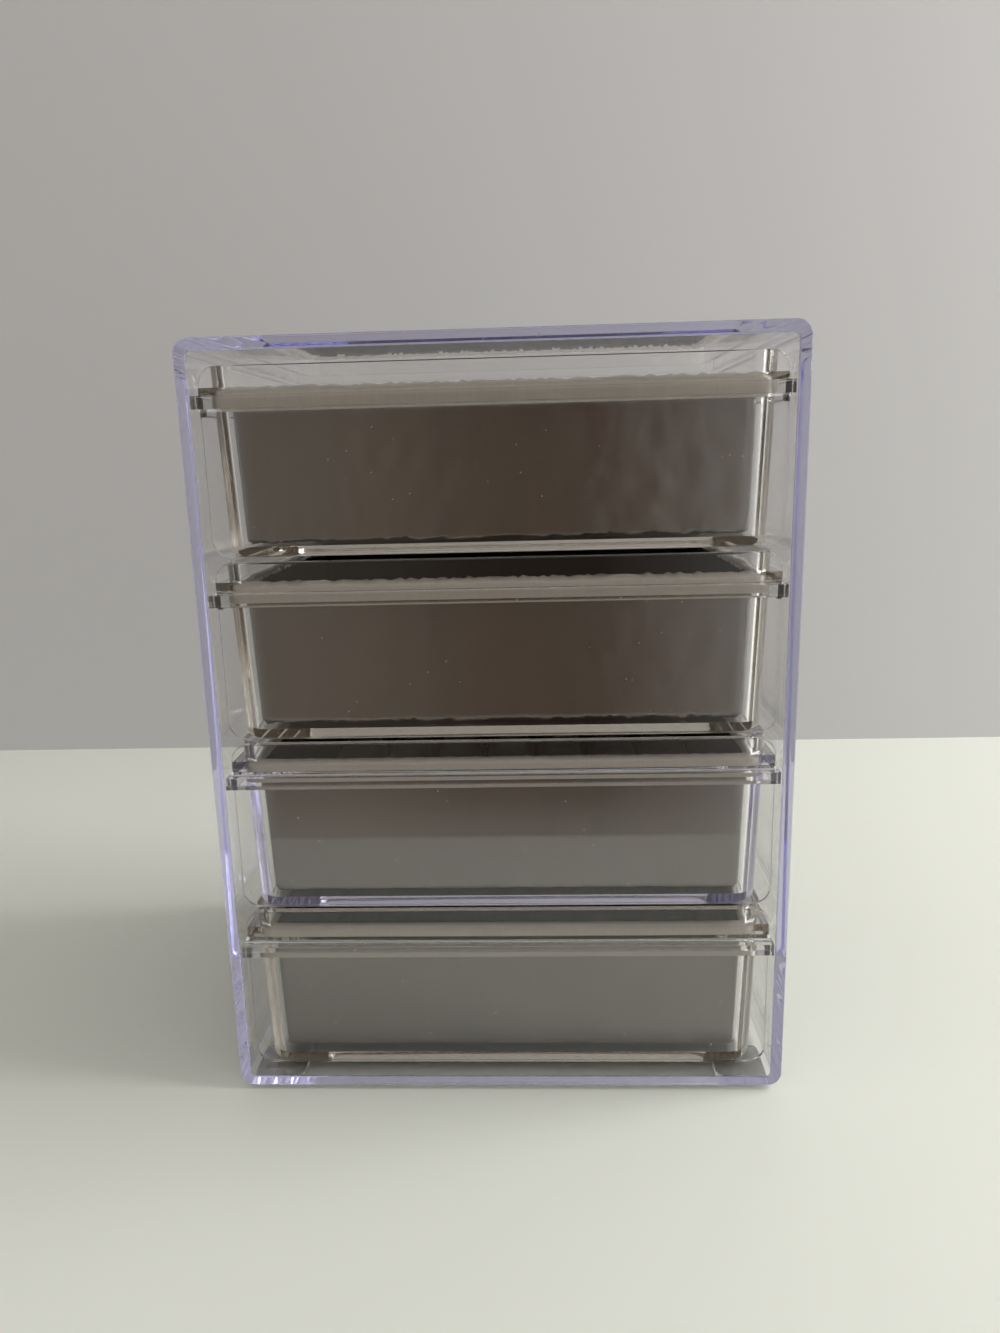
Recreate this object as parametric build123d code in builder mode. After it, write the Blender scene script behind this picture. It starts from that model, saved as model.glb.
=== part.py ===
from build123d import *
from math import radians, tan
import os

os.makedirs("parts", exist_ok=True)

# Clear moulded case, open at the front, with four clear drawers one above the other.
# Each drawer has a front plate with a pull ledge, and holds an opaque formed insert.
# Frame: +Z up, the front faces -Y, origin in the middle of the base where the feet stand.
# All sizes are in millimetres. Drawer 1 is the top one.

# Case shell
case_width = 180.0
case_depth = 140.0
side_thickness = 3.6
top_thickness = 3.8
floor_thickness = 3.4
back_thickness = 3.0
top_corner_radius = 4.5       # outer long corners, left and right of the top
bottom_corner_radius = 3.0    # outer long corners, left and right of the floor
bay_corner_radius = 1.8       # inner long corners
rear_edge_radius = 1.6        # edges around the back
rim_edge_radius = 0.5         # polished edges around the open front

# Foot pads
foot_height = 1.6
foot_side = 17.5
foot_inset = 3.0              # from the case's sides, front and back
foot_corner_radius = 3.0

# Drawer trays
drawer_count = 4
drawer_height = 56.0
drawer_gap = 1.7              # between one drawer and the next
floor_gap = 0.4               # under the lowest drawer
ceiling_gap = 3.4             # over the top drawer
side_gap = 0.4                # front plate and flange to the case's side
rear_gap = 1.0                # closed tray to the case's back
plate_thickness = 2.6
plate_corner_radius = 5.5
plate_edge_radius = 0.5
tray_wall = 2.4
tray_floor = 3.0
tray_draft = 2.0              # degrees, sides and back lean in towards the bottom
tray_corner_radius = 8.0
tray_bottom_radius = 1.8
well_corner_radius = 5.6      # upright corners inside the tray
flange_thickness = 2.5

# Pull ledge
ledge_depth = 7.0             # its front is flush with the case's front
ledge_height = 3.7
ledge_drop = 8.9              # its top lies this far below the plate's top
ledge_root_radius = 2.4       # hollow rounding under the ledge
ledge_edge_radius = 0.6

# Runner strips
runner_width = 1.9
runner_height = 5.6
runner_gap = 0.3              # flange to runner, and front plate to the runner's end
runner_side_gap = 0.5         # runner to the tray's side
runner_edge_radius = 0.8

# Inserts
insert_height = 46.0          # from the tray's floor to the top of the rim
insert_wall = 1.6
insert_draft = 1.2            # degrees
insert_corner_radius = 3.0
insert_bottom_radius = 2.2
insert_rim_width = 2.0        # the rim turns out over the tray's wall gap
insert_rim_thickness = 2.6
insert_rim_edge_radius = 0.5
insert_gap = 0.4              # rim to the tray's wall

# Ring rolls
roll_count = 7
roll_height = 21.0
roll_crease = 9.0             # depth of the crease between two rolls
roll_gap = 0.8                # to the insert's wall

# Worked out from the sizes above
drawer_pitch = drawer_height + drawer_gap
bay_width = case_width - 2 * side_thickness
bay_height = floor_gap + drawer_count * drawer_height + (drawer_count - 1) * drawer_gap + ceiling_gap
bay_floor = foot_height + floor_thickness
case_height = bay_floor + bay_height + top_thickness
case_front = -case_depth / 2
case_back = case_depth / 2
bay_back = case_back - back_thickness

plate_width = bay_width - 2 * side_gap
plate_front = case_front + ledge_depth
plate_back = plate_front + plate_thickness
tray_front = plate_front + plate_thickness / 2    # the box ends inside the plate
tray_width = bay_width - 2 * (runner_width + runner_side_gap)
tray_back = bay_back - rear_gap
ledge_top = drawer_height - ledge_drop
flange_bottom = ledge_top + runner_gap
rim_height = tray_floor + insert_height


def drawer_bottom(number):
    """Height of a closed drawer's underside. Drawer 1 is the top one."""
    return bay_floor + floor_gap + (drawer_count - number) * drawer_pitch


def section(height, half_width, front, back, radius):
    """A rounded rectangle lying level at the given height."""
    with BuildSketch(Plane.XY.offset(height)) as outline:
        with Locations((0, (front + back) / 2)):
            RectangleRounded(2 * half_width, back - front, radius)
    return outline.sketch


def tray_lean(height):
    """How far the tray's sides and back have leaned in at a height above its underside."""
    return (drawer_height - height) * tan(radians(tray_draft))


def tray_section(base, height):
    lean = tray_lean(height)
    return section(base + height, tray_width / 2 - lean, tray_front, tray_back - lean, tray_corner_radius)


def well_section(base, height):
    half_width = tray_width / 2 - tray_lean(height) - tray_wall
    back = tray_back - tray_lean(height) - tray_wall
    return section(base + height, half_width, plate_back, back, well_corner_radius)


def insert_section(base, height, inset=0.0, spread=0.0):
    """The insert's outline at a height above the tray's underside, drawn in by the inset."""
    play = insert_gap + insert_rim_width + inset - spread
    lean = (rim_height - height) * tan(radians(insert_draft)) + play
    half_width = tray_width / 2 - tray_lean(rim_height) - tray_wall - lean
    back = tray_back - tray_lean(rim_height) - tray_wall - lean
    radius = insert_corner_radius + spread - inset
    return section(base + height, half_width, plate_back + lean, back, radius)


def make_case_shell():
    outer_height = case_height - foot_height
    with BuildPart() as case_shell:
        with BuildSketch(Plane.XZ.offset(-case_back)):
            with Locations((0, foot_height + outer_height / 2)):
                outer = Rectangle(case_width, outer_height)
            fillet(outer.vertices().group_by(Axis.Z)[-1], top_corner_radius)
            fillet(outer.vertices().group_by(Axis.Z)[0], bottom_corner_radius)
        extrude(amount=case_depth)
        fillet(case_shell.faces().sort_by(Axis.Y)[-1].edges(), rear_edge_radius)
        with BuildSketch(Plane.XZ.offset(-bay_back)):
            with Locations((0, bay_floor + bay_height / 2)):
                RectangleRounded(bay_width, bay_height, bay_corner_radius)
        extrude(amount=bay_back - case_front, mode=Mode.SUBTRACT)
        fillet(case_shell.faces().sort_by(Axis.Y)[0].edges(), rim_edge_radius)
    case_shell.part.label = "case_shell"
    export_step(case_shell.part, "parts/case_shell.step")


def make_foot(name, side, end):
    """A flat pad under one corner. side is -1 at the left, end is -1 at the front."""
    reach_x = case_width / 2 - foot_inset - foot_side / 2
    reach_y = case_depth / 2 - foot_inset - foot_side / 2
    with BuildPart() as foot:
        with BuildSketch(Plane.XY):
            with Locations((side * reach_x, end * reach_y)):
                RectangleRounded(foot_side, foot_side, foot_corner_radius)
        extrude(amount=foot_height)
    foot.part.label = name
    export_step(foot.part, f"parts/{name}.step")


def make_runner(number, name, side):
    """A strip on the inside of one side, its free edges rounded. side is -1 at the left."""
    middle = drawer_bottom(number) + ledge_top - runner_height / 2
    wall = side * bay_width / 2
    free_edge = -side * runner_width
    with BuildPart() as runner:
        with BuildSketch(Plane.XZ.offset(-bay_back)) as end:
            with Locations((wall + free_edge / 2, middle)):
                Rectangle(runner_width, runner_height)
            free = end.vertices().filter_by(lambda corner: abs(corner.X) < abs(wall) - runner_width / 2)
            fillet(free, runner_edge_radius)
        extrude(amount=bay_back - plate_back - runner_gap)
    runner.part.label = f"{name}_{number}"
    export_step(runner.part, f"parts/{name}_{number}.step")


def make_tray(number):
    base = drawer_bottom(number)
    flange_end = tray_back - tray_corner_radius
    with BuildPart() as tray:
        # box, leaning in towards the bottom
        loft(sections=[tray_section(base, 0), tray_section(base, drawer_height)])
        fillet(tray.edges().group_by(Axis.Z)[0], tray_bottom_radius)
        # front plate
        with BuildSketch(Plane.XZ.offset(-plate_back)):
            with Locations((0, base + drawer_height / 2)):
                RectangleRounded(plate_width, drawer_height, plate_corner_radius)
        extrude(amount=plate_thickness)
        fillet(tray.faces().sort_by(Axis.Y)[0].edges(), plate_edge_radius)
        # side flanges, which ride on the runners
        with BuildSketch(Plane.XY.offset(base + flange_bottom)):
            with Locations((0, (plate_back + flange_end) / 2)):
                Rectangle(plate_width, flange_end - plate_back)
        extrude(amount=flange_thickness)
        # the space for the insert
        above = drawer_height + tray_floor
        loft(sections=[well_section(base, tray_floor), well_section(base, above)], mode=Mode.SUBTRACT)
        # pull ledge across the plate, hollow under its root
        lip_top = base + ledge_top
        lip_bottom = lip_top - ledge_height
        root = (plate_front - ledge_root_radius, lip_bottom - ledge_root_radius)
        with BuildSketch(Plane.YZ.offset(-plate_width / 2)) as profile:
            with BuildLine():
                Polyline(
                    (plate_front, root[1]),
                    (plate_front, lip_top),
                    (case_front, lip_top),
                    (case_front, lip_bottom),
                    (root[0], lip_bottom),
                )
                CenterArc(root, ledge_root_radius, 0, 90)
            make_face()
            fillet(profile.vertices().group_by(Axis.Y)[0], ledge_edge_radius)
        extrude(amount=plate_width)
    tray.part.label = f"drawer_tray_{number}"
    export_step(tray.part, f"parts/drawer_tray_{number}.step")


def make_insert(number):
    base = drawer_bottom(number)
    inner_floor = tray_floor + insert_wall
    above = rim_height + insert_wall
    with BuildPart() as insert:
        loft(sections=[insert_section(base, tray_floor), insert_section(base, rim_height)])
        fillet(insert.edges().group_by(Axis.Z)[0], insert_bottom_radius)
        lip_bottom = rim_height - insert_rim_thickness
        extrude(insert_section(base, lip_bottom, spread=insert_rim_width), amount=insert_rim_thickness)
        loft(
            sections=[
                insert_section(base, inner_floor, inset=insert_wall),
                insert_section(base, above, inset=insert_wall),
            ],
            mode=Mode.SUBTRACT,
        )
        fillet(insert.faces().sort_by(Axis.Z)[-1].edges(), insert_rim_edge_radius)
    insert.part.label = f"insert_{number}"
    export_step(insert.part, f"parts/insert_{number}.step")


def make_ring_rolls(number):
    """A row of rolls, side by side on the floor of one drawer's insert."""
    floor_height = tray_floor + insert_wall
    seat = drawer_bottom(number) + floor_height
    floor_lean = (rim_height - floor_height) * tan(radians(insert_draft))
    margin = insert_gap + insert_rim_width + insert_wall + floor_lean + roll_gap
    well_half_width = tray_width / 2 - tray_lean(rim_height) - tray_wall
    front = plate_back + margin
    back = tray_back - tray_lean(rim_height) - tray_wall - margin
    roll_width = 2 * (well_half_width - margin) / roll_count
    left = -roll_width * roll_count / 2
    crease = seat + roll_height - roll_crease
    with BuildPart() as ring_rolls:
        with BuildSketch(Plane.XZ.offset(-back)):
            with BuildLine():
                for roll in range(roll_count):
                    start = left + roll * roll_width
                    crest = (start + roll_width / 2, seat + roll_height)
                    ThreePointArc((start, crease), crest, (start + roll_width, crease))
                Polyline((-left, crease), (-left, seat), (left, seat), (left, crease))
            make_face()
        extrude(amount=back - front)
    ring_rolls.part.label = "ring_rolls"
    export_step(ring_rolls.part, "parts/ring_rolls.step")


make_case_shell()
for end_name, end in (("front", -1), ("back", 1)):
    for side_name, side in (("left", -1), ("right", 1)):
        make_foot(f"foot_{end_name}_{side_name}", side, end)
for number in range(1, drawer_count + 1):
    make_runner(number, "runner_left", -1)
    make_runner(number, "runner_right", 1)
    make_tray(number)
    make_insert(number)
make_ring_rolls(3)
print(f"case {case_width:g} wide, {case_depth:g} deep, {case_height:g} high")
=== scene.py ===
# %% [markdown]
# # A clear drawer case with formed inserts
#
# This lesson dresses a clear moulded case that holds four drawers one above the other.
# Every drawer is a clear box with a thick front plate and a slim pull ledge, and an opaque
# tray of thin formed sheet lies in it. In the third drawer that tray holds velvet ring rolls.
#
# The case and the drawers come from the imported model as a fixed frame. Their shapes are
# right, so they only get materials. The runners and the foot pads keep their shape too, but
# get a hair of air where they touch the case. The inserts and the ring rolls are thin or soft
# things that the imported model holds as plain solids, so they are modelled here and stand in
# for those solids.

# %% Load the fixed frame
from math import exp, radians, tan

import bmesh
import bpy
from mathutils import Matrix, Vector, noise


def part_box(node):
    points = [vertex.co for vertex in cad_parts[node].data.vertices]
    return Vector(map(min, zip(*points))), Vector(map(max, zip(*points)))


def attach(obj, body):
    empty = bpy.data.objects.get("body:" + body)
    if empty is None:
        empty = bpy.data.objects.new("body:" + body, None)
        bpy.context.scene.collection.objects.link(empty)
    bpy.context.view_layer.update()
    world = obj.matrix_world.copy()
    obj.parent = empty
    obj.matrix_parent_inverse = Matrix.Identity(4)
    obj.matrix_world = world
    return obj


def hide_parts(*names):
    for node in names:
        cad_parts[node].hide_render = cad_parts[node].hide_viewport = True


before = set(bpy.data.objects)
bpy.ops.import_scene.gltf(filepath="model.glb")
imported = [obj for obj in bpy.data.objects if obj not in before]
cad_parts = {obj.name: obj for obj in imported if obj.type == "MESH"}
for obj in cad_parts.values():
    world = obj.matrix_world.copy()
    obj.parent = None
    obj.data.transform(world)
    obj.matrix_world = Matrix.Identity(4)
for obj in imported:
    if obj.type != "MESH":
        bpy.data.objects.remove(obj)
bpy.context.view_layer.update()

MM = 0.001

# %% [markdown]
# ## The camera
#
# The photograph was taken with a hand-held phone, a little above the case, tilted down and
# turned by a degree or two. Its lens sees about as much as a 26 mm lens does on a 36 mm
# frame. The camera is turned in three steps, each about one axis: tilt up from looking
# straight down, turn about the upright axis, and roll about the line of sight.

# %% Camera
CAMERA_PLACE = Vector((12.8, -348.9, 206.8)) * MM
CAMERA_TILT = radians(12.52)      # below the horizon
CAMERA_TURN = radians(2.44)       # to the left
CAMERA_ROLL = radians(-1.50)
LENS = 25.66                      # mm, on a 36 mm frame whose long side is upright

camera_data = bpy.data.cameras.new("camera")
camera_data.lens = LENS
camera_data.sensor_width = 36.0
camera_data.clip_start = 0.01
camera = bpy.data.objects.new("camera", camera_data)
bpy.context.scene.collection.objects.link(camera)
turn = Matrix.Rotation(CAMERA_TURN, 4, "Z")
tilt = Matrix.Rotation(radians(90) - CAMERA_TILT, 4, "X")
roll = Matrix.Rotation(CAMERA_ROLL, 4, "Z")
camera.matrix_world = Matrix.Translation(CAMERA_PLACE) @ turn @ tilt @ roll
bpy.context.scene.camera = camera
print("camera", [round(c / MM) for c in CAMERA_PLACE], "mm")

# %% [markdown]
# ## Shared effects
#
# Clear plastic is never quite clean: it has hairline scuffs that catch the light, and dust, and
# its rounded edges are a little dull from handling. Several finishes need these, so each effect
# is a node group with named inputs and outputs. A group only puts out values that change over
# the surface. Each material then uses them in its own shader.


# %% A small kit for nodes
def add_node(tree, kind, **settings):
    """A node of that kind. Settings are its properties, or the values of its inputs by name."""
    node = tree.nodes.new(kind)
    for name, value in settings.items():
        if hasattr(node, name):
            setattr(node, name, value)
        else:
            node.inputs[name.replace("_", " ")].default_value = value
    return node


def new_group(name, inputs, outputs):
    """An empty node group, with its sockets given as name: default."""
    group = bpy.data.node_groups.new(name, "ShaderNodeTree")
    for socket, value in inputs.items():
        made = group.interface.new_socket(socket, in_out="INPUT", socket_type="NodeSocketFloat")
        made.default_value = value
    for socket in outputs:
        group.interface.new_socket(socket, in_out="OUTPUT", socket_type="NodeSocketFloat")
    return group, group.nodes.new("NodeGroupInput"), group.nodes.new("NodeGroupOutput")


def stretched_place(tree, scale):
    """The object's own coordinates, stretched by the scale along each axis."""
    place = tree.nodes.new("ShaderNodeTexCoord")
    stretch = add_node(tree, "ShaderNodeMapping", Scale=scale)
    tree.links.new(place.outputs["Object"], stretch.inputs["Vector"])
    return stretch.outputs["Vector"]


def math_node(tree, operation, first, second):
    """A math node. Each input is a number or a socket."""
    node = add_node(tree, "ShaderNodeMath", operation=operation)
    for socket, value in zip(node.inputs, (first, second)):
        if isinstance(value, (int, float)):
            socket.default_value = value
        else:
            tree.links.new(value, socket)
    return node.outputs[0]


def ramp(tree, value, low, high):
    """0 where the value is at low, 1 where it is at high, smooth between. Low may be the larger."""
    node = add_node(tree, "ShaderNodeMapRange", interpolation_type="SMOOTHSTEP")
    node.inputs["From Min"].default_value = low
    node.inputs["From Max"].default_value = high
    tree.links.new(value, node.inputs["Value"])
    return node.outputs["Result"]


# %% Scuffs and dust
EVEN = (1.0, 1.0, 1.0)            # not stretched
HAIRLINES = (900.0, 900.0, 25.0)  # noise cells per metre: thin across, long upwards


def make_scuff_group():
    """Hairlines, dust specks and dull rounded edges. Wear and Edges are how rough they are."""
    inputs = {"Wear": 0.12, "Edges": 0.2}
    group, given, put = new_group("scuffs_and_dust", inputs, ("Roughness", "Height"))
    link = group.links.new
    # upright hairlines, only where patches of wear are
    hairs = add_node(group, "ShaderNodeTexNoise", Scale=1.0, Detail=4.0, Roughness=0.7)
    link(stretched_place(group, HAIRLINES), hairs.inputs["Vector"])
    hair_mask = ramp(group, hairs.outputs["Fac"], 0.66, 0.74)
    patches = add_node(group, "ShaderNodeTexNoise", Scale=28.0, Detail=2.0)
    link(stretched_place(group, EVEN), patches.inputs["Vector"])
    patch_mask = ramp(group, patches.outputs["Fac"], 0.48, 0.7)
    worn = math_node(group, "MULTIPLY", hair_mask, patch_mask)
    # dust specks, where the random point of a 4 mm cell happens to lie in the surface
    specks = add_node(group, "ShaderNodeTexVoronoi", Scale=260.0, Randomness=1.0)
    link(stretched_place(group, EVEN), specks.inputs["Vector"])
    speck_mask = ramp(group, specks.outputs["Distance"], 0.10, 0.06)
    marks = math_node(group, "MAXIMUM", worn, speck_mask)
    wear = math_node(group, "MULTIPLY", marks, given.outputs["Wear"])
    # a rounded edge is where the surface faces along none of the axes
    surface = group.nodes.new("ShaderNodeTexCoord")
    facing = group.nodes.new("ShaderNodeSeparateXYZ")
    link(surface.outputs["Normal"], facing.inputs["Vector"])
    sizes = [math_node(group, "ABSOLUTE", facing.outputs[axis], 0.0) for axis in "XYZ"]
    flattest = math_node(group, "MAXIMUM", sizes[1], sizes[2])
    flattest = math_node(group, "MAXIMUM", sizes[0], flattest)
    edge_mask = ramp(group, flattest, 0.996, 0.96)
    rounded = math_node(group, "MULTIPLY", edge_mask, given.outputs["Edges"])
    link(math_node(group, "MAXIMUM", wear, rounded), put.inputs["Roughness"])
    link(marks, put.inputs["Height"])
    return group


scuff_group = make_scuff_group()
print("effect:", scuff_group.name)

# %% [markdown]
# ## Clear plastic
#
# The case and the drawers are injection-moulded clear plastic. A thin wall looks nearly
# colourless. Seen edge-on the light comes through the whole depth of the wall, and there
# the tint of the plastic shows: violet in the case and the third drawer, and a weak warm
# grey in the other drawers. So the surface stays colourless, and the tint is an absorption
# inside the solid. It is given as how much of each colour is lost per metre.

# %% Clear finishes
SEEN_DEPTH = 140 * MM             # of a side wall seen edge-on


def clear_plastic(name, lost, wear, edges, index=1.49):
    """Clear moulded plastic. Lost is how much red, green and blue it swallows per metre."""
    finish = bpy.data.materials.new(name)
    finish.use_nodes = True
    tree = finish.node_tree
    shader = tree.nodes["Principled BSDF"]
    shader.inputs["Base Color"].default_value = (1.0, 1.0, 1.0, 1.0)
    shader.inputs["Transmission Weight"].default_value = 1.0
    shader.inputs["IOR"].default_value = index
    scuffs = tree.nodes.new("ShaderNodeGroup")
    scuffs.node_tree = scuff_group
    scuffs.inputs["Wear"].default_value = wear
    scuffs.inputs["Edges"].default_value = edges
    tree.links.new(scuffs.outputs["Roughness"], shader.inputs["Roughness"])
    bump = add_node(tree, "ShaderNodeBump", Strength=0.15, Distance=0.02 * MM)
    tree.links.new(scuffs.outputs["Height"], bump.inputs["Height"])
    tree.links.new(bump.outputs["Normal"], shader.inputs["Normal"])
    density = 2 * max(lost)
    tint = [1 - share / density for share in lost]
    absorb = add_node(tree, "ShaderNodeVolumeAbsorption", Color=(*tint, 1.0), Density=density)
    tree.links.new(absorb.outputs["Volume"], tree.nodes["Material Output"].inputs["Volume"])
    passed = [round(exp(-share * SEEN_DEPTH), 2) for share in lost]
    print(name, "lets", passed, "of the light through over", round(SEEN_DEPTH / MM), "mm")
    return finish


clear_case = clear_plastic("case_plastic", lost=(2.5, 2.6, 0.9), wear=0.12, edges=0.08)
clear_drawer = clear_plastic("drawer_plastic", lost=(3.0, 3.5, 4.3), wear=0.12, edges=0.12)
tinted_drawer = clear_plastic("violet_drawer_plastic", lost=(2.5, 2.7, 1.2), wear=0.12, edges=0.12)
clear_runner = clear_plastic("runner_plastic", lost=(14.0, 14.0, 11.0), wear=0.2, edges=0.1)
clear_pad = clear_plastic("pad_rubber", lost=(5.0, 5.0, 4.4), wear=0.3, edges=0.3, index=1.42)


# %% Give the case and the drawers their finish
DRAWERS = (1, 2, 3, 4)            # from the top down
TINTED = 3                        # the number of the violet drawer
dressed = {"case_shell": clear_case}
for number in DRAWERS:
    dressed[f"drawer_tray_{number}"] = tinted_drawer if number == TINTED else clear_drawer
for node, finish in dressed.items():
    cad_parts[node].data.materials.clear()
    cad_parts[node].data.materials.append(finish)
    print(node, "is", finish.name)

# %% [markdown]
# ## A hair of air
#
# A clear wall acts as a light guide, because light inside it can't leave at a low angle. That
# only works next to air. Two clear things that share a face hide the air, and the renderer
# can't tell which of them the light is in. On the real object a trace of air stays between
# the case and each runner or pad. So these nodes are copied, the copy is merged, and its
# contact face is drawn back by a tenth of a millimetre.

# %% Copy a node with its contact face drawn back
AIR = 0.1 * MM


def with_air(node, name, axis, side):
    """Copies the node. Its face at the far end of the axis, on that side, is drawn back."""
    low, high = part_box(node)
    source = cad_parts[node]
    bpy.ops.object.select_all(action="DESELECT")
    piece = source.copy()
    piece.data = source.data.copy()
    piece.name = piece.data.name = name
    for mark in list(piece.keys()):      # the copy is no node, so it loses the node's marks
        del piece[mark]
    bpy.context.scene.collection.objects.link(piece)
    piece.parent = None
    piece.select_set(True)
    bpy.context.view_layer.objects.active = piece
    bpy.ops.object.mode_set(mode="EDIT")
    bpy.ops.mesh.select_all(action="SELECT")
    bpy.ops.mesh.remove_doubles(threshold=0.001 * MM)
    bpy.ops.object.mode_set(mode="OBJECT")
    contact = high[axis] if side > 0 else low[axis]
    for corner in piece.data.vertices:
        if abs(corner.co[axis] - contact) < 0.01 * MM:
            corner.co[axis] -= side * AIR
    return piece


# %% Dress a piece
def dress(piece, finish, body, node):
    """Gives a piece its finish. It rides on the body, and stands in for the node."""
    piece.data.materials.clear()
    piece.data.materials.append(finish)
    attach(piece, body)
    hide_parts(node)


# %% Runners and pads
X_AXIS, Y_AXIS, Z_AXIS = 0, 1, 2
strips = []
for number in DRAWERS:
    for hand, side in (("left", -1), ("right", 1)):
        strip = with_air(f"runner_{hand}_{number}", f"runner_strip_{hand}_{number}", X_AXIS, side)
        dress(strip, clear_runner, "case", f"runner_{hand}_{number}")
        strips.append(strip)
pads = []
for end in ("front", "back"):
    for hand in ("left", "right"):
        pad = with_air(f"foot_{end}_{hand}", f"foot_pad_{end}_{hand}", Z_AXIS, 1)
        dress(pad, clear_pad, "case", f"foot_{end}_{hand}")
        pads.append(pad)
print(len(strips), "runner strips and", len(pads), "pads")

# %% [markdown]
# ## Satin and flock
#
# The sheet is satin outside, with a faint upright grain. Its soft reflections of the room
# make most of what is seen: dark where it faces the dark middle of the room, and lighter low
# down, where it faces the table. So its own colour is a deep brown, and its shine is strong.
# The folded rim is painted paler than the sheet, as painted light for the light that catches it
# behind the clear ledge. Inside, short fibres swallow most light.

# %% Upright grain
# noise cells per metre along each axis
FINE_LINES = (1300.0, 1300.0, 45.0)
BROAD_STREAKS = (130.0, 130.0, 6.0)
SLOW_CLOUDS = (34.0, 34.0, 12.0)


def make_grain_group():
    """Fine upright lines, broad upright streaks and slow clouds of tone, each from 0 to 1."""
    outputs = ("Lines", "Streaks", "Clouds")
    group, given, put = new_group("upright_grain", {"Fineness": 1.0}, outputs)
    link = group.links.new
    lines = add_node(group, "ShaderNodeTexNoise", Detail=5.0, Roughness=0.6)
    link(stretched_place(group, FINE_LINES), lines.inputs["Vector"])
    link(given.outputs["Fineness"], lines.inputs["Scale"])
    link(ramp(group, lines.outputs["Fac"], 0.3, 0.7), put.inputs["Lines"])
    streaks = add_node(group, "ShaderNodeTexNoise", Scale=1.0, Detail=2.0)
    link(stretched_place(group, BROAD_STREAKS), streaks.inputs["Vector"])
    link(ramp(group, streaks.outputs["Fac"], 0.2, 0.8), put.inputs["Streaks"])
    clouds = add_node(group, "ShaderNodeTexNoise", Scale=1.0, Detail=3.0)
    link(stretched_place(group, SLOW_CLOUDS), clouds.inputs["Vector"])
    link(ramp(group, clouds.outputs["Fac"], 0.35, 0.65), put.inputs["Clouds"])
    return group


grain_group = make_grain_group()
print("effect:", grain_group.name)


# %% Satin outside
def blend_colours(tree, first, second, share):
    """A colour between two, by a share that varies over the surface."""
    tone = add_node(tree, "ShaderNodeMix", data_type="RGBA")
    for name, value in (("A", first), ("B", second)):
        if isinstance(value, tuple):
            tone.inputs[name].default_value = (*value, 1.0)
        else:
            tree.links.new(value, tone.inputs[name])
    tree.links.new(share, tone.inputs["Factor"])
    return tone.outputs["Result"]


DUST = (0.60, 0.58, 0.54)
FINE_SHARE, BROAD_SHARE = 0.35, 0.25      # of the streak tone, in lines and in streaks


def satin_sheet(name, plain, ruddy, streak, rough, index):
    """Satin sheet. Clouds go from its plain to its ruddy tone, and the grain is the streak."""
    finish = bpy.data.materials.new(name)
    finish.use_nodes = True
    tree = finish.node_tree
    shader = tree.nodes["Principled BSDF"]
    grain = tree.nodes.new("ShaderNodeGroup")
    grain.node_tree = grain_group
    clouded = blend_colours(tree, plain, ruddy, grain.outputs["Clouds"])
    fine = math_node(tree, "MULTIPLY", grain.outputs["Lines"], FINE_SHARE)
    broad = math_node(tree, "MULTIPLY", grain.outputs["Streaks"], BROAD_SHARE)
    streaked = blend_colours(tree, clouded, streak, math_node(tree, "ADD", fine, broad))
    dust = add_node(tree, "ShaderNodeTexVoronoi", Scale=250.0)
    tree.links.new(stretched_place(tree, EVEN), dust.inputs["Vector"])
    specks = ramp(tree, dust.outputs["Distance"], 0.055, 0.035)
    tree.links.new(blend_colours(tree, streaked, DUST, specks), shader.inputs["Base Color"])
    shader.inputs["Roughness"].default_value = rough
    shader.inputs["IOR"].default_value = index
    shader.inputs["Specular IOR Level"].default_value = 0.9
    bump = add_node(tree, "ShaderNodeBump", Strength=0.2, Distance=0.02 * MM)
    tree.links.new(grain.outputs["Lines"], bump.inputs["Height"])
    tree.links.new(bump.outputs["Normal"], shader.inputs["Normal"])
    return finish


# %% Fibres inside
def short_fibres(name, deep, tips, sheen):
    """Flock or velvet: deep between the fibres, lighter at their tips, and brushed in patches."""
    finish = bpy.data.materials.new(name)
    finish.use_nodes = True
    tree = finish.node_tree
    shader = tree.nodes["Principled BSDF"]
    fibres = add_node(tree, "ShaderNodeTexNoise", Scale=1500.0, Detail=3.0, Roughness=0.7)
    tree.links.new(stretched_place(tree, EVEN), fibres.inputs["Vector"])
    brushed = add_node(tree, "ShaderNodeTexNoise", Scale=60.0, Detail=2.0)
    tree.links.new(stretched_place(tree, EVEN), brushed.inputs["Vector"])
    tip = ramp(tree, fibres.outputs["Fac"], 0.35, 0.7)
    patch = ramp(tree, brushed.outputs["Fac"], 0.2, 0.75)
    share = math_node(tree, "MULTIPLY", tip, patch)
    tree.links.new(blend_colours(tree, deep, tips, share), shader.inputs["Base Color"])
    shader.inputs["Roughness"].default_value = 0.95
    shader.inputs["Sheen Weight"].default_value = sheen
    shader.inputs["Sheen Roughness"].default_value = 0.4
    bump = add_node(tree, "ShaderNodeBump", Strength=0.5, Distance=0.1 * MM)
    tree.links.new(fibres.outputs["Fac"], bump.inputs["Height"])
    tree.links.new(bump.outputs["Normal"], shader.inputs["Normal"])
    return finish


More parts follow.
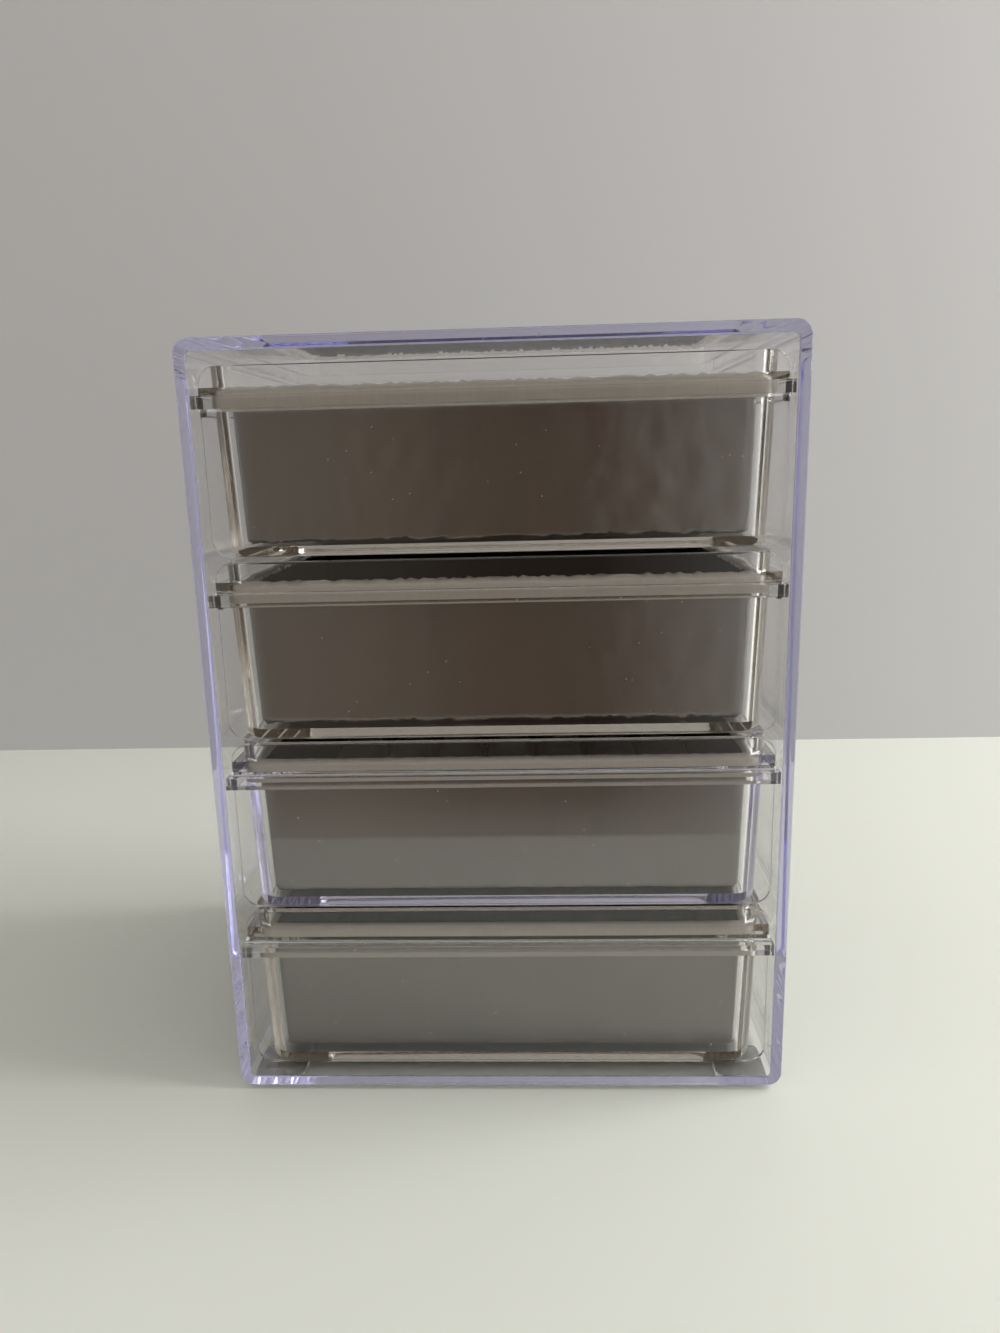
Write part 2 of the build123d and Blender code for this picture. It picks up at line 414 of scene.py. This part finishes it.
# %% Insert finishes
satin = satin_sheet(
    "satin_sheet",
    plain=(0.044, 0.030, 0.014), ruddy=(0.066, 0.034, 0.017), streak=(0.110, 0.070, 0.038),
    rough=0.20, index=1.8,
)
# the rim's pale tones are painted light: the same sheet, painted paler for the light that catches
# the rim behind the clear ledge
rim_satin_painted_light = satin_sheet(
    "rim_satin_painted_light",
    plain=(0.52, 0.465, 0.395), ruddy=(0.52, 0.455, 0.385), streak=(0.62, 0.57, 0.49),
    rough=0.25, index=1.6,
)
dark_flock = short_fibres(
    "dark_flock", deep=(0.008, 0.006, 0.005), tips=(0.034, 0.026, 0.021), sheen=0.1,
)
# the fourth drawer's flock is painted lighter than the others: painted light, for the light from
# the right and behind that reaches inside it
flock_painted_lighter = short_fibres(
    "flock_painted_lighter", deep=(0.073, 0.069, 0.062), tips=(0.225, 0.210, 0.190), sheen=0.2,
)
print("sheet and fibres:", satin.name, rim_satin_painted_light.name, dark_flock.name, flock_painted_lighter.name)

# %% [markdown]
# ## The formed inserts
#
# Each drawer holds a shallow tray, pressed from one thin sheet. Its outside is a satin
# greyish brown, and its inside is flocked. It has a folded rim, walls that lean in a little
# towards the floor so that it came off its mould, and rounded corners.
#
# It starts as a box without a lid. The floor is drawn in, corners are bevelled, and the rim is
# folded outwards and down. No sheet leaves the press quite even: the walls ripple, and the
# bends at the floor and the rim are ruffled, most of all in the upper two drawers. A Solidify
# modifier then gives the sheet its thickness, and the next material slot to its inner side.

# %% Tools for edit mode
def start_box(name, low, high):
    """A box between two corners, with its place in its mesh, opened in edit mode."""
    low, high = Vector(low), Vector(high)
    bpy.ops.object.select_all(action="DESELECT")
    bpy.ops.mesh.primitive_cube_add(size=1, location=(low + high) / 2, scale=high - low)
    piece = bpy.context.object
    piece.name = piece.data.name = name
    bpy.ops.object.transform_apply(location=True, rotation=True, scale=True)
    bpy.ops.object.mode_set(mode="EDIT")
    return piece


def pick(piece, kind, test):
    """Selects only the faces or edges that pass the test."""
    bpy.ops.mesh.select_mode(type={"faces": "FACE", "edges": "EDGE"}[kind])
    bpy.ops.mesh.select_all(action="DESELECT")
    mesh = bmesh.from_edit_mesh(piece.data)
    for element in getattr(mesh, kind):
        element.select_set(bool(test(element)))
    bmesh.update_edit_mesh(piece.data)


def apart(edge, axis):
    """How far apart the ends of the edge are along the axis."""
    return abs(edge.verts[0].co[axis] - edge.verts[1].co[axis])


def apply_modifier(piece, kind, **settings):
    """Adds a modifier to the piece and applies it."""
    bpy.ops.object.select_all(action="DESELECT")
    piece.select_set(True)
    bpy.context.view_layer.objects.active = piece
    modifier = piece.modifiers.new(kind.lower(), kind)
    for name, value in settings.items():
        setattr(modifier, name, value)
    bpy.ops.object.modifier_apply(modifier=modifier.name)


# %% Model an insert
RIM_WIDTH = 2.0 * MM
RIM_ROOM = 0.2 * MM               # kept free outside the rim, for its ripples
RIM_DROP = 5.2 * MM               # how far the rim's skirt hangs down
SHEET = 1.1 * MM
LEAN = tan(radians(1.2))
CORNER = 3.0 * MM
FLOOR_BEND = 1.4 * MM
RIM_BEND = 0.7 * MM
RUFFLE_LENGTH = 1.9 * MM
RIM_SHARE = 0.7                   # of the floor's ruffle, at the rim
HAIR = 0.1 * MM                   # two places closer than this are the same
COLUMNS, ROWS = 150, 20           # cuts along a wall and up it
FLOCK, RIM = 1, 2                 # material slots, after the satin in slot 0
# the drawer whose flock is painted lighter, as painted light
PAINTED_LIGHTER_DRAWER = 4                    # the number of the drawer with the grey flock
TOP_ZONE = 0.5 * MM               # faces this near the top that look up belong to the rim

sheet_waves = bpy.data.textures.new("sheet_waves", "CLOUDS")
sheet_waves.noise_scale = 7 * MM
sheet_waves.noise_depth = 1


def cut_walls(insert, size):
    """Cuts the walls into small faces, so that they can ripple."""
    for axis in (X_AXIS, Y_AXIS):
        pick(insert, "edges", lambda e: apart(e, axis) > 0.8 * size[axis])
        bpy.ops.mesh.subdivide(number_cuts=COLUMNS)
    pick(insert, "edges", lambda e: apart(e, Z_AXIS) > 0.5 * size.z)
    bpy.ops.mesh.subdivide(number_cuts=ROWS)


def ruffle_bends(insert, low, high, height):
    """Puts short waves in the bends at the floor and the rim, as in a sheet pressed too cold."""
    for point in insert.data.vertices:
        wave = 0.5 + noise.noise(Vector((point.co.x, point.co.y, 0)) / RUFFLE_LENGTH)
        wave = min(max(wave, 0.0), 1.0)
        if point.co.z < low.z + 2 * FLOOR_BEND:
            point.co.z += height * wave
        elif point.co.z > high.z - 2 * RIM_BEND:
            point.co.z -= RIM_SHARE * height * wave


def model_insert(number, waves, ruffle):
    """One formed tray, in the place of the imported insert."""
    low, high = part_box(f"insert_{number}")
    low = Vector((low[0] + RIM_WIDTH, low[1] + RIM_WIDTH, low[2] + AIR))
    high = Vector((high[0] - RIM_WIDTH, high[1] - RIM_WIDTH, high[2]))
    size, centre = high - low, (low + high) / 2
    insert = start_box(f"formed_insert_{number}", low, high)
    pick(insert, "faces", lambda f: f.normal.z > 0.5)
    bpy.ops.mesh.delete(type="ONLY_FACE")
    pick(insert, "faces", lambda f: f.normal.z < -0.5)
    drawn = [1 - 2 * LEAN * size.z / size[axis] for axis in (X_AXIS, Y_AXIS)]
    bpy.ops.transform.resize(value=(*drawn, 1), center_override=(centre.x, centre.y, low.z))
    pick(insert, "edges", lambda e: apart(e, Z_AXIS) > size.z / 2)
    bpy.ops.mesh.bevel(offset=CORNER, segments=6, affect="EDGES")
    pick(insert, "edges", lambda e: all(v.co.z < low.z + HAIR for v in e.verts))
    bpy.ops.mesh.bevel(offset=FLOOR_BEND, segments=4, affect="EDGES")
    pick(insert, "edges", lambda e: e.is_boundary)
    bpy.ops.mesh.extrude_region_move()
    wider = [1 + 2 * (RIM_WIDTH - RIM_ROOM) / size[axis] for axis in (X_AXIS, Y_AXIS)]
    bpy.ops.transform.resize(value=(*wider, 1), center_override=(centre.x, centre.y, high.z))
    bpy.ops.mesh.extrude_region_move(TRANSFORM_OT_translate={"value": (0, 0, -RIM_DROP)})
    pick(insert, "edges", lambda e: all(v.co.z > high.z - HAIR for v in e.verts)
         and len(e.link_faces) == 2
         and abs(e.link_faces[0].normal.z - e.link_faces[1].normal.z) > 0.5)
    bpy.ops.mesh.bevel(offset=RIM_BEND, segments=3, affect="EDGES")
    cut_walls(insert, size)
    bpy.ops.object.mode_set(mode="OBJECT")
    ruffle_bends(insert, low, high, ruffle)
    # in the fourth drawer the flock is painted lighter: painted light
    lining = flock_painted_lighter if number == PAINTED_LIGHTER_DRAWER else dark_flock
    for finish in (satin, lining, rim_satin_painted_light):
        insert.data.materials.append(finish)
    apply_modifier(insert, "DISPLACE", texture=sheet_waves, texture_coords="LOCAL",
                   strength=waves, mid_level=1.0)
    apply_modifier(insert, "SOLIDIFY", thickness=SHEET, offset=-1, use_even_offset=True,
                   material_offset=FLOCK)
    # the rim's faces get the rim satin, whose paleness is painted light
    for face in insert.data.polygons:
        place = face.center
        outside = place.x < low.x or place.x > high.x or place.y < low.y or place.y > high.y
        on_top = place.z > high.z - TOP_ZONE and face.normal.z > 0.1
        if outside or on_top:
            face.material_index = RIM
    bpy.ops.object.shade_smooth_by_angle(angle=radians(40))
    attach(insert, f"drawer_{number}")
    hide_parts(f"insert_{number}")
    return insert


WAVES = (0.28 * MM, 0.13 * MM, 0.05 * MM, 0.05 * MM)     # from the top drawer down
RUFFLES = (1.3 * MM, 1.3 * MM, 0.4 * MM, 0.2 * MM)
for number, waves, ruffle in zip(DRAWERS, WAVES, RUFFLES):
    insert = model_insert(number, waves, ruffle)
    used = [face.material_index for face in insert.data.polygons]
    for place, finish in enumerate(insert.data.materials):
        print(insert.name, "has", used.count(place), "faces of", finish.name)

# %% [markdown]
# ## The ring rolls
#
# Seven foam rolls covered with velvet lie side by side in the third insert, and rings are
# pushed down between them. The cover is a closed velvet tube, a little smaller than the foam
# wants to be. So it is simulated as cloth under pressure, which gives the round back and the
# pinched corners that a stuffed tube has. One roll is made and copied. Each copy then gets
# its own soft unevenness, and a stitched groove where the end cap is sewn on.

# %% Swell a stuffed cover
PRESSURE = 4.0
FRAMES = 20
SWELL_LIMIT = 0.6 * MM


def swell(piece):
    """Presses a closed cover outwards as cloth. No point moves further than the limit."""
    start = [point.co.copy() for point in piece.data.vertices]
    cloth = piece.modifiers.new("cloth", "CLOTH")
    cloth.settings.use_pressure = True
    cloth.settings.uniform_pressure_force = PRESSURE
    cloth.settings.effector_weights.gravity = 0.0
    for moment in range(1, FRAMES + 1):
        bpy.context.scene.frame_set(moment)
    bpy.context.view_layer.objects.active = piece
    bpy.ops.object.modifier_apply(modifier=cloth.name)
    bpy.context.scene.frame_set(1)
    furthest = 0.0
    for point, place in zip(piece.data.vertices, start):
        moved = point.co - place
        furthest = max(furthest, moved.length)
        if moved.length > SWELL_LIMIT:
            point.co = place + moved.normalized() * SWELL_LIMIT
    print(piece.name, "swelled by up to", round(furthest / MM, 2), "mm before the limit")


# %% Model one roll
ROLLS = 7
RING_DRAWER = 3                   # the number of the drawer that holds them
ROLL_ROUND = 7.5 * MM             # radius of its back
ROLL_FOOT = 2.5 * MM              # and of its lower edges
ROLL_END = 2.0 * MM               # and around its ends
ALONG = 10 * MM                   # longer edges than this run along the roll
VOXEL = 2.2 * MM
SPARE = 0.2 * MM                  # for the unevenness that each copy gets


def model_roll(low, high):
    """A velvet roll between two corners, flat below and round above."""
    roll = start_box("ring_roll_1", low, high)
    pick(roll, "edges", lambda e: apart(e, Y_AXIS) > ALONG
         and all(v.co.z > high.z - HAIR for v in e.verts))
    bpy.ops.mesh.bevel(offset=ROLL_ROUND, segments=5, affect="EDGES")
    pick(roll, "edges", lambda e: apart(e, Y_AXIS) > ALONG
         and all(v.co.z < low.z + HAIR for v in e.verts))
    bpy.ops.mesh.bevel(offset=ROLL_FOOT, segments=2, affect="EDGES")
    pick(roll, "edges", lambda e: all(v.co.y < low.y + HAIR for v in e.verts)
         or all(v.co.y > high.y - HAIR for v in e.verts))
    bpy.ops.mesh.bevel(offset=ROLL_END, segments=2, affect="EDGES")
    bpy.ops.object.mode_set(mode="OBJECT")
    apply_modifier(roll, "REMESH", mode="VOXEL", voxel_size=VOXEL)
    swell(roll)
    apply_modifier(roll, "SUBSURF", levels=1, render_levels=1)
    return roll


rolls_low, rolls_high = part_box("ring_rolls")
roll_width = (rolls_high[0] - rolls_low[0]) / ROLLS
margin = SWELL_LIMIT + SPARE
first_roll = model_roll(
    Vector((rolls_low[0] + margin, rolls_low[1] + margin, rolls_low[2] + margin)),
    Vector((rolls_low[0] + roll_width - margin, rolls_high[1] - margin, rolls_high[2] - margin)),
)

# %% Copy the roll, and make each one uneven
foam_waves = bpy.data.textures.new("foam_waves", "CLOUDS")
foam_waves.noise_scale = 14 * MM
UNEVEN = 0.5 * MM
SEAM_DEPTH = 0.5 * MM
SEAM_WIDTH = 0.9 * MM
SEAM_INSET = 3.5 * MM


def sew_ends(roll, front, back):
    """Draws the cover in along the seam of each end cap."""
    middle_x = sum(point.co.x for point in roll.data.vertices) / len(roll.data.vertices)
    middle_z = sum(point.co.z for point in roll.data.vertices) / len(roll.data.vertices)
    for point in roll.data.vertices:
        off = min(abs(point.co.y - front - SEAM_INSET), abs(back - SEAM_INSET - point.co.y))
        inward = Vector((middle_x - point.co.x, 0, middle_z - point.co.z)).normalized()
        point.co += inward * SEAM_DEPTH * exp(-(off / SEAM_WIDTH) ** 2)


velvet = short_fibres(
    "roll_pile", deep=(0.010, 0.008, 0.009), tips=(0.050, 0.042, 0.044), sheen=0.5,
)
plain_roll = first_roll.data.copy()
rolls = []
for index in range(ROLLS):
    roll = first_roll
    if index:
        roll = bpy.data.objects.new(f"ring_roll_{index + 1}", plain_roll.copy())
        bpy.context.scene.collection.objects.link(roll)
        roll.data.name = roll.name
    for point in roll.data.vertices:
        point.co.x += index * roll_width
    apply_modifier(roll, "DISPLACE", texture=foam_waves, texture_coords="LOCAL",
                   strength=UNEVEN, mid_level=0.8)
    sew_ends(roll, rolls_low[1], rolls_high[1])
    bpy.ops.object.shade_smooth_by_angle(angle=radians(70))
    dress(roll, velvet, f"drawer_{RING_DRAWER}", "ring_rolls")
    rolls.append(roll)
print(len(rolls), "ring rolls of", len(first_roll.data.polygons), "faces")

# %% [markdown]
# ## Table, wall and light
#
# The case stands on a plain off-white table in front of a plain pale wall. The wall has one
# side only, so that it doesn't stand in the way when the case is looked at from behind.
# The table ends 20 cm in front of the case. The satin inserts reflect it low down, and above
# that the darker room beyond its edge. It lies a hair below the pads, so that no two faces
# coincide.

# %% Stage
WALL_PLACE = 0.32                 # m behind the middle of the case
TABLE_FRONT = -0.27               # m, so in front of it
TABLE_REACH = 2.0                 # m to the back, and to each side
TABLE_DROP = 0.05 * MM
WALL_HEIGHT = 2.0                 # m


def plain_finish(name, colour, one_sided=False):
    """A dull finish. One-sided, it can't be seen from behind."""
    finish = bpy.data.materials.new(name)
    finish.use_nodes = True
    tree = finish.node_tree
    shader = tree.nodes["Principled BSDF"]
    shader.inputs["Roughness"].default_value = 0.6
    shader.inputs["Base Color"].default_value = (*colour, 1.0)
    if one_sided:
        side = tree.nodes.new("ShaderNodeNewGeometry")
        through = tree.nodes.new("ShaderNodeBsdfTransparent")
        choose = tree.nodes.new("ShaderNodeMixShader")
        tree.links.new(side.outputs["Backfacing"], choose.inputs[0])
        tree.links.new(shader.outputs[0], choose.inputs[1])
        tree.links.new(through.outputs[0], choose.inputs[2])
        tree.links.new(choose.outputs[0], tree.nodes["Material Output"].inputs["Surface"])
    return finish


def add_plane(name, place, turned, size, finish):
    """A flat piece of the stage."""
    bpy.ops.object.select_all(action="DESELECT")
    bpy.ops.mesh.primitive_plane_add(size=1, location=place, rotation=turned)
    plane = bpy.context.object
    plane.name = name
    plane.scale = (*size, 1)
    plane.data.materials.append(finish)


table_finish = plain_finish("table_finish", (0.66, 0.67, 0.60))
wall_finish = plain_finish("wall_finish", (0.52, 0.51, 0.51), one_sided=True)
table_depth = TABLE_REACH - TABLE_FRONT
table_middle = (TABLE_REACH + TABLE_FRONT) / 2
table_size = (2 * TABLE_REACH, table_depth)
add_plane("table", (0, table_middle, -TABLE_DROP), (0, 0, 0), table_size, table_finish)
wall_size = (2 * TABLE_REACH, WALL_HEIGHT)
add_plane("wall", (0, WALL_PLACE, WALL_HEIGHT / 2), (radians(90), 0, 0), wall_size, wall_finish)
print("table of", table_size, "m and wall of", wall_size, "m")

# %% The room
# The room's tone in front of the case, by direction: -1 is straight left and 1 straight right.
FRONT_TONES = (
    (-0.60, (0.60, 0.57, 0.53)),
    (-0.18, (0.40, 0.34, 0.28)),
    (-0.06, (0.25, 0.19, 0.15)),
    (0.06, (0.20, 0.15, 0.12)),
    (0.14, (0.42, 0.37, 0.32)),
    (0.28, (0.95, 0.93, 0.88)),
)
SKY = (0.95, 0.94, 0.93)
ROOM_STRENGTH = 0.79

world = bpy.data.worlds.new("room")
world.use_nodes = True
tree = world.node_tree
looking = tree.nodes.new("ShaderNodeTexCoord")
direction = tree.nodes.new("ShaderNodeSeparateXYZ")
tree.links.new(looking.outputs["Generated"], direction.inputs["Vector"])
across = math_node(tree, "ADD", math_node(tree, "MULTIPLY", direction.outputs["X"], 0.5), 0.5)
tones = tree.nodes.new("ShaderNodeValToRGB")
tree.links.new(across, tones.inputs["Fac"])
stops = tones.color_ramp.elements
while len(stops) > 1:
    stops.remove(stops[-1])
for index, (aside, tone) in enumerate(FRONT_TONES):
    position = aside / 2 + 0.5
    stop = stops[0] if index == 0 else stops.new(position)
    stop.position = position
    stop.color = (*tone, 1.0)
# these tones show only ahead of the case and low down, and elsewhere the room is SKY
ahead = ramp(tree, direction.outputs["Y"], -0.25, -0.60)
low_down = ramp(tree, direction.outputs["Z"], 0.50, 0.12)
in_front = math_node(tree, "MULTIPLY", ahead, low_down)
room_tone = blend_colours(tree, SKY, tones.outputs["Color"], in_front)
tree.links.new(room_tone, tree.nodes["Background"].inputs["Color"])
tree.nodes["Background"].inputs["Strength"].default_value = ROOM_STRENGTH
bpy.context.scene.world = world
print("room of", len(FRONT_TONES), "tones in front")

# %% The window
WINDOW_PLACE = Vector((1.30, 0.12, 0.85))      # to the right of the case, and above it
WINDOW_WIDTH, WINDOW_HEIGHT = 1.0, 1.2
WINDOW_POWER = 32.0                            # W
LIT_PLACE = Vector((0, 0, 0.1))                # inside the case

window_light = bpy.data.lights.new("window_light", "AREA")
window_light.shape = "RECTANGLE"
window_light.size, window_light.size_y = WINDOW_WIDTH, WINDOW_HEIGHT
window_light.energy = WINDOW_POWER
window = bpy.data.objects.new("window_light", window_light)
window.location = WINDOW_PLACE
window.rotation_euler = (LIT_PLACE - WINDOW_PLACE).to_track_quat("-Z", "Y").to_euler()
bpy.context.scene.collection.objects.link(window)
bpy.context.scene.view_settings.view_transform = "Standard"
print("window light of", window_light.energy, "W")

# %% [markdown]
# ## Long light paths
#
# Light that runs along inside a clear wall is thrown back dozens of times before it leaves.
# With the usual few bounces such a path ends too soon and shows black, so the limits are
# raised here.

# %% Bounces
BOUNCES = 128
paths = bpy.context.scene.cycles
paths.max_bounces = paths.transmission_bounces = paths.glossy_bounces = BOUNCES
print("up to", paths.max_bounces, "bounces")
